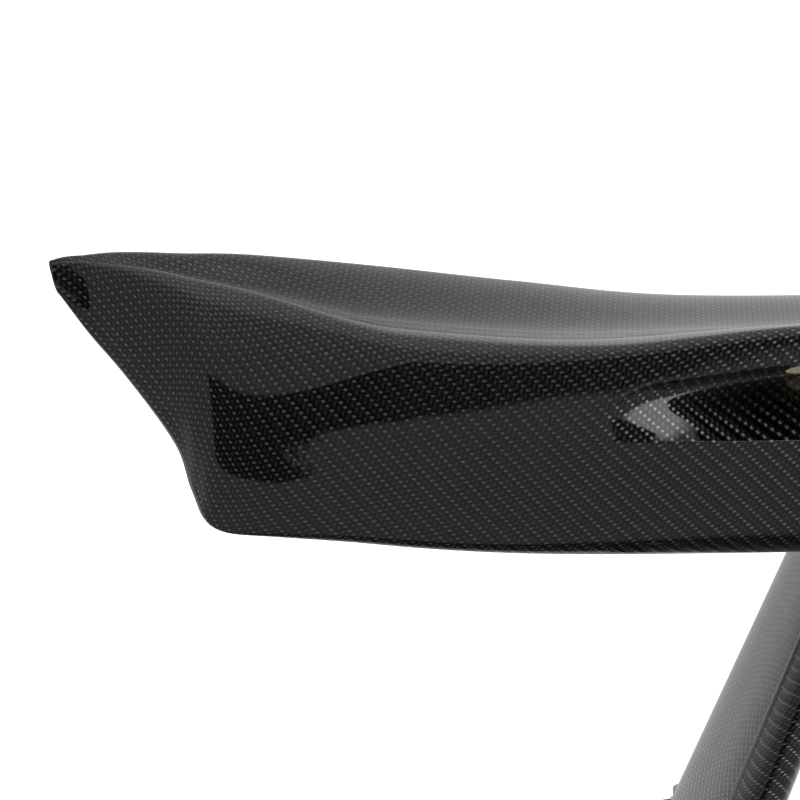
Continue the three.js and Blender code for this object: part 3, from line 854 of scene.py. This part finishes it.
def twill(n):
    """The cloth from its UVs: which tow is on top, the place across and along it, and its tilts."""
    cloth = n.split(n.add("ShaderNodeUVMap", {"uv_map": "cloth"}).outputs["UV"])
    u, v = n.over(cloth["X"], TOW), n.over(cloth["Y"], TOW)
    warp, column, row = twill_of(n, u, v)
    across_warp = n.minus(n.math("FRACT", u), 0.5)
    across_weft = n.minus(n.math("FRACT", v), 0.5)
    along_warp = n.over(n.wrapped(n.plus(n.minus(column, v), 1.0)), 2.0)
    along_weft = n.over(n.minus(n.wrapped(n.minus(u, row)), 2.0), 2.0)
    across = n.between(warp, across_weft, across_warp)
    along = n.between(warp, along_weft, along_warp)
    steepness = n.times(n.math("POWER", n.doubled(across), 2.0), TOW_TILT)
    flank = n.times(steepness, n.math("SIGN", across))
    dive = n.times(n.math("COSINE", n.times(along, math.pi)), FLOAT_TILT)
    return {
        "u": u, "v": v, "warp": warp, "across": across, "along": along,
        "tilt_u": n.between(warp, n.times(dive, -1.0), flank),
        "tilt_v": n.between(warp, flank, dive),
        "tow": n.between(warp, row, column),
    }


def carbon_tone_with_glints(n, t):
    """Each float's reflectance, with its own shade and fine fibres along it, and a painted glint: reflectance
    raised to a bright spot at its crown, far more on weft floats than on warp ones.
    """
    tow_shade = n.add("ShaderNodeTexWhiteNoise", {"noise_dimensions": "1D"}, W=t["tow"]).outputs["Value"]
    stretch = n.add("ShaderNodeCombineXYZ")
    n.feed(stretch, "X", n.between(t["warp"], n.times(t["v"], FIBRES), n.times(t["u"], FIBRES)))
    n.feed(stretch, "Y", n.between(t["warp"], n.times(t["u"], FIBRE_RUN), n.times(t["v"], FIBRE_RUN)))
    fibres = n.add("ShaderNodeTexNoise", {"noise_dimensions": "2D"}, Scale=1.0, Detail=2.0)
    n.feed(fibres, "Vector", stretch.outputs[0])
    gap = n.math("POWER", n.doubled(t["across"]), 6.0)
    # Painted glint: a spot of raised reflectance at the middle of each float, across it and along it.
    middle = n.ramp(n.math("ABSOLUTE", t["across"]), 0.1, 0.42, 1.0, 0.0)
    top = n.ramp(n.math("ABSOLUTE", n.minus(t["along"], 0.5)), 0.05, 0.3, 1.0, 0.0)
    crown = n.between(t["warp"], WEFT_GLINT, WARP_GLINT)
    tone = n.between(n.times(middle, top), TOW_TONE, crown)
    tone = n.times(tone, n.ramp(tow_shade, 0, 1, 0.88, 1.12, "LINEAR"))
    tone = n.times(tone, n.ramp(fibres.outputs["Fac"], *NOISE, 0.85, 1.15, "LINEAR"))
    return n.times(tone, n.ramp(gap, 0, 1, 1.0, GAP_TONE, "LINEAR"))


def carbon_gloss():
    """Twill cloth under a thick, polished clear coat."""
    material, n = new_material("carbon_gloss")
    t = twill(n)
    # The cloth's reflectance carries painted glint dots at the float crowns.
    tone = carbon_tone_with_glints(n, t)
    slopes = [n.math("MULTIPLY_ADD", t[tilt], 0.5, 0.5) for tilt in ("tilt_u", "tilt_v")]
    cloth_normal = n.add("ShaderNodeNormalMap", {"space": "TANGENT", "uv_map": "cloth"}, Strength=1.0)
    n.feed(cloth_normal, "Color", n.grey(*slopes, 1.0))
    tangent = n.add("ShaderNodeTangent", {"direction_type": "UV_MAP", "uv_map": "cloth"})
    place = n.place()
    peel, ripple = n.noise(place, 260.0, 2.0), n.noise(place, 35.0, 1.0)
    shader = n.add("ShaderNodeBsdfPrincipled", Metallic=1.0, Coat_Weight=1.0, Coat_IOR=1.5, Anisotropic=0.92)
    n.feed(shader, "Base Color", n.grey(tone, tone, n.times(tone, CARBON_BLUE)))
    n.feed(shader, "Roughness", n.ramp(n.noise(place, 60.0), *NOISE, 0.38, 0.43, "LINEAR"))
    n.feed(shader, "Anisotropic Rotation", n.math("MULTIPLY_ADD", t["warp"], -0.25, 0.25))
    n.feed(shader, "Tangent", tangent.outputs[0])
    n.feed(shader, "Coat Roughness", n.ramp(n.noise(place, 18.0, 4.0), 0.35, 0.75, 0.015, 0.04, "LINEAR"))
    n.feed(shader, "Normal", cloth_normal.outputs[0])
    n.feed(shader, "Coat Normal", n.bump(n.plus(n.times(peel, 0.25), ripple), 0.00006))
    n.surface(shader)
    return material


def carbon_inner():
    """Bare laminate on the spar and the ribs, its weave drawn as warp and weft tows in two tones: a painted
    sheen for the fibres' shine.
    """
    material, n = new_material("carbon_inner")
    place = n.place()
    x, y, z = (n.over(n.split(place)[k], TOW) for k in ("X", "Y", "Z"))
    a, b = n.plus(x, y), z
    warp, _, _ = twill_of(n, a, b)
    across = n.between(warp, n.math("FRACT", b), n.math("FRACT", a))
    edge = n.math("ABSOLUTE", n.math("MULTIPLY_ADD", across, 2.0, -1.0))
    crown = n.minus(1.0, n.math("POWER", edge, 3.0))
    # Painted sheen: warp tows a little lighter than weft tows.
    tone = n.times(n.between(warp, 0.022, 0.034), n.ramp(n.noise(place, 900.0), *NOISE, 0.8, 1.2))
    shader = n.add("ShaderNodeBsdfPrincipled", Base_Color=n.grey(tone), Normal=n.bump(crown, 0.00008))
    n.feed(shader, "Roughness", n.ramp(n.noise(place, 300.0), *NOISE, 0.42, 0.6))
    n.surface(shader)
    return material


def foam():
    """Closed-cell foam: fine cells, a little uneven in colour."""
    material, n = new_material("foam")
    place = n.place()
    cells = n.add("ShaderNodeTexVoronoi", {"feature": "F1"}, Vector=place, Scale=1400.0).outputs["Distance"]
    patch = n.noise(place, 25.0, 4.0)
    shade = n.times(n.ramp(cells, 0.0, 0.7, 0.78, 1.0), n.ramp(patch, *NOISE, 0.94, 1.04))
    colour = n.grey(*(n.times(shade, part) for part in (0.68, 0.60, 0.42)))
    bumps = n.bump(cells, -0.0003)
    shader = n.add("ShaderNodeBsdfPrincipled", Base_Color=colour, Roughness=0.9, Normal=bumps)
    n.surface(shader)
    return material


def milled_aluminium():
    """Milled faces: fine parallel cutter marks and faint stains."""
    material, n = new_material("milled_aluminium")
    place = n.place()
    marks = n.noise(n.stretched(place, 90.0, 4200.0), 1.0, 3.0)
    stain = n.noise(place, 45.0, 5.0)
    tone = n.times(n.ramp(marks, *NOISE, 0.58, 0.74), n.ramp(stain, 0.35, 0.7, 0.9, 1.0))
    bumps = n.bump(marks, 0.00004)
    shader = n.add("ShaderNodeBsdfPrincipled", Base_Color=n.grey(tone), Metallic=1.0, Normal=bumps)
    n.feed(shader, "Roughness", n.ramp(marks, *NOISE, 0.26, 0.42))
    n.surface(shader)
    return material


def worn_edge(n, strength_at):
    """1 along convex edges, broken up by noise."""
    edge = n.add("ShaderNodeNewGeometry").outputs["Pointiness"]
    rub = n.noise(n.place(), 700.0, 4.0, 0.65)
    return n.times(n.ramp(edge, 0.52, 0.62), n.ramp(rub, strength_at, strength_at + 0.15))


def anodised():
    """Black anodised aluminium: a fine blasted grain, with bright metal rubbed through along the edges."""
    material, n = new_material("black_anodised")
    place = n.place()
    grain = n.noise(place, 5200.0, 2.0, 0.6)
    cloud = n.noise(place, 50.0, 4.0)
    worn = worn_edge(n, 0.5)
    tone = n.ramp(cloud, *NOISE, 0.016, 0.028)
    tone = n.between(worn, tone, 0.34)
    shader = n.add("ShaderNodeBsdfPrincipled", Base_Color=n.grey(tone), Normal=n.bump(grain, 0.00006))
    n.feed(shader, "Metallic", n.between(worn, 0.55, 1.0))
    n.feed(shader, "Roughness", n.between(worn, n.ramp(grain, *NOISE, 0.36, 0.5), 0.3))
    n.surface(shader)
    return material


def rubber():
    """Moulded rubber: matte, with a fine stipple and dusty patches."""
    material, n = new_material("rubber")
    place = n.place()
    cells = n.add("ShaderNodeTexVoronoi", {"feature": "SMOOTH_F1"}, Vector=place, Scale=1900.0)
    stipple = cells.outputs["Distance"]
    dust = n.noise(place, 80.0, 5.0, 0.6)
    tone = n.ramp(dust, 0.4, 0.75, 0.014, 0.034)
    shader = n.add("ShaderNodeBsdfPrincipled", Base_Color=n.grey(tone), Normal=n.bump(stipple, -0.00015))
    n.feed(shader, "Roughness", n.ramp(dust, 0.35, 0.7, 0.7, 0.88))
    n.surface(shader)
    return material


def zinc_steel():
    """Zinc-plated steel: turning marks, a faint warm and cool cast, and duller patches."""
    material, n = new_material("zinc_steel")
    place = n.place()
    marks = n.noise(n.stretched(place, 300.0, 6500.0), 1.0, 2.0)
    patch = n.noise(place, 160.0, 4.0, 0.6)
    tone = n.times(n.ramp(marks, *NOISE, 0.5, 0.62), n.ramp(patch, 0.3, 0.75, 1.0, 0.82))
    warm = n.times(tone, n.ramp(patch, *NOISE, 1.0, 1.05))
    cool = n.times(tone, n.ramp(patch, *NOISE, 1.06, 0.98))
    shader = n.add("ShaderNodeBsdfPrincipled", Metallic=1.0, Normal=n.bump(marks, 0.00003))
    n.feed(shader, "Base Color", n.grey(warm, tone, cool))
    n.feed(shader, "Roughness", n.ramp(patch, *NOISE, 0.24, 0.4))
    n.surface(shader)
    return material


gloss = carbon_gloss()
inner = carbon_inner()
core = foam()
milled = milled_aluminium()
steel = zinc_steel()
give(gloss, skin, underside, *legs)
give(anodised(), *feet["plate"])
give(rubber(), *feet["pad"])
give(steel, *feet["screw"], *feet["washer"])
give(inner, nodes["spar"])
give(core, nodes["core_centre"])
for word, side in SIDES:
    give(inner, nodes[f"rib_inner_{word}"], nodes[f"rib_outer_{word}"])
    give(core, nodes[f"core_bay_{word}"], nodes[f"core_end_{word}"])
    give(milled, nodes[f"leg_spine_{word}"])
    give(steel, *(nodes[f"spine_screw_{end}_{word}"] for end in ENDS))

# ------------------------------------------------------------------ camera
AZIMUTH, ELEVATION = math.radians(-15), math.radians(8)
RANGE = 1.3
VIEW_WIDTH = 0.32  # width of the picture at the aim's distance
SENSOR = 36
AIM = Vector((-532.4, -20 + SHIFT_Y, 210.9)) * MM
camera = bpy.data.objects.new("camera", bpy.data.cameras.new("camera"))
bpy.context.collection.objects.link(camera)
level = Vector((math.sin(AZIMUTH), -math.cos(AZIMUTH), 0))
back = level * math.cos(ELEVATION) + Vector((0, 0, math.sin(ELEVATION)))
camera.location = AIM + back * RANGE
camera.rotation_euler = back.to_track_quat("Z", "Y").to_euler()
camera.data.lens = SENSOR * RANGE / VIEW_WIDTH
bpy.context.scene.camera = camera

# ------------------------------------------------------------------ studio
FLOOR_SIZE = 60
FLOOR_TONE = 0.8
FLOOR_GLOW = 0.72
DOME_RADIUS = 28


def glow(name, strength):
    material, n = new_material(name)
    n.surface(n.add("ShaderNodeEmission", Strength=strength))
    return material


def staged(name, mesh):
    """A studio object that isn't part of the wing."""
    piece = bpy.data.objects.new(name, mesh)
    bpy.context.collection.objects.link(piece)
    return piece


half = FLOOR_SIZE / 2
floor_mesh = bpy.data.meshes.new("floor")
corners = [(-half, -half, 0), (half, -half, 0), (half, half, 0), (-half, half, 0)]
floor_mesh.from_pydata(corners, [], [(0, 1, 2, 3)])
floor = staged("floor", floor_mesh)
floor.visible_glossy = False
paint, n = new_material("floor_white")
mixed = n.add("ShaderNodeAddShader")
n.feed(mixed, 0, n.add("ShaderNodeBsdfDiffuse", Color=(FLOOR_TONE, FLOOR_TONE, FLOOR_TONE, 1.0)).outputs[0])
n.feed(mixed, 1, n.add("ShaderNodeEmission", Strength=FLOOR_GLOW).outputs[0])
n.surface(mixed)
give(paint, floor)

# The room as the gloss sees it: even and dim, with a dark wall behind the camera and a soft key to the right.
ROOM = 0.5
FRONT = 0.7
OVERHEAD = 0.9
KEY = 4.0
WALL = 0.004
UNDERNEATH = 0.03
# Where one light gives way to the next, as parts of the direction's own coordinates.
FRONT_CHANGE = (0.0, 0.5)
OVERHEAD_CHANGE = (0.92, 0.96)
UNDERNEATH_CHANGE = (-0.96, -0.82)
KEY_BEARINGS = (12, 88)  # degrees, 0 straight back and negative to the left
KEY_ELEVATIONS = (11, 57)
KEY_EDGE = 0.1
world = bpy.data.worlds.new("studio")
n = Nodes(world)
direction = n.add("ShaderNodeTexCoord").outputs["Generated"]
x, y, z = (n.split(direction)[k] for k in ("X", "Y", "Z"))
turn = n.math("ARCTAN2", x, n.times(y, -1.0))  # 0 straight back, negative to the left


def window(value, low, high, edge):
    """1 between two limits, with soft edges."""
    start = n.ramp(value, low - edge, low + edge)
    end = n.ramp(value, high - edge, high + edge, 1.0, 0.0)
    return n.times(start, end)


# The dark wall's lower and upper edges, as (bearing, elevation) in degrees.
WALL_BOTTOM = [
    (-64, -12), (-60, -15), (-55, -18), (-50, -21), (-47.5, -26), (-46.6, -24), (-45.6, -5.5), (-41, -6.4),
    (-33, -6), (-26, -3), (-22, 0), (-16, 2), (0, 1), (8, -2), (30, -6),
]
WALL_TOP = [
    (-64, -12), (-60, -7), (-57, -2), (-53, 4), (-50, 8.5), (-46, 9.5), (-42, 12), (-38, 15), (-34, 22),
    (-30, 30), (-26, 36), (10, 40), (30, 40),
]
WALL_LEFT, WALL_RIGHT = -62, 14
WALL_EDGE = 1.2  # softness of its edges, in degrees
NOTCH_LEAN, NOTCH_LEVEL = 0.25, -5.0  # the step in the lower edge leans: bearing per elevation, from a level
degrees = math.degrees(1.0)
bearing = n.times(turn, degrees)
elevation = n.times(n.math("ARCSINE", z), degrees)
leaning = n.math("MULTIPLY_ADD", n.minus(elevation, NOTCH_LEVEL), NOTCH_LEAN, bearing)
above = n.minus(elevation, n.curve(leaning, WALL_BOTTOM))
below = n.minus(n.curve(bearing, WALL_TOP), elevation)
dark = n.times(n.ramp(above, -WALL_EDGE, WALL_EDGE), n.ramp(below, -WALL_EDGE, WALL_EDGE))
dark = n.times(dark, window(bearing, WALL_LEFT, WALL_RIGHT, WALL_EDGE))

across = window(turn, *(math.radians(limit) for limit in KEY_BEARINGS), KEY_EDGE)
up = window(z, *(math.sin(math.radians(limit)) for limit in KEY_ELEVATIONS), KEY_EDGE)
light = n.between(n.ramp(y, *FRONT_CHANGE), ROOM, FRONT)
light = n.between(n.ramp(z, *OVERHEAD_CHANGE), light, OVERHEAD)
light = n.between(n.ramp(z, *UNDERNEATH_CHANGE), UNDERNEATH, light)
light = n.between(n.times(across, up), light, KEY)
light = n.between(dark, light, WALL)
background = n.add("ShaderNodeBackground", Strength=light)
out = n.add("ShaderNodeOutputWorld")
n.feed(out, "Surface", background.outputs[0])
bpy.context.scene.world = world

dome_mesh = bpy.data.meshes.new("backdrop")
work = bmesh.new()
bmesh.ops.create_icosphere(work, subdivisions=4, radius=DOME_RADIUS)
work.to_mesh(dome_mesh)
work.free()
backdrop = staged("backdrop", dome_mesh)
for kind in ("diffuse", "glossy", "transmission", "volume_scatter", "shadow"):
    setattr(backdrop, f"visible_{kind}", False)
give(glow("white", 1.0), backdrop)

bpy.context.scene.view_settings.view_transform = "Standard"
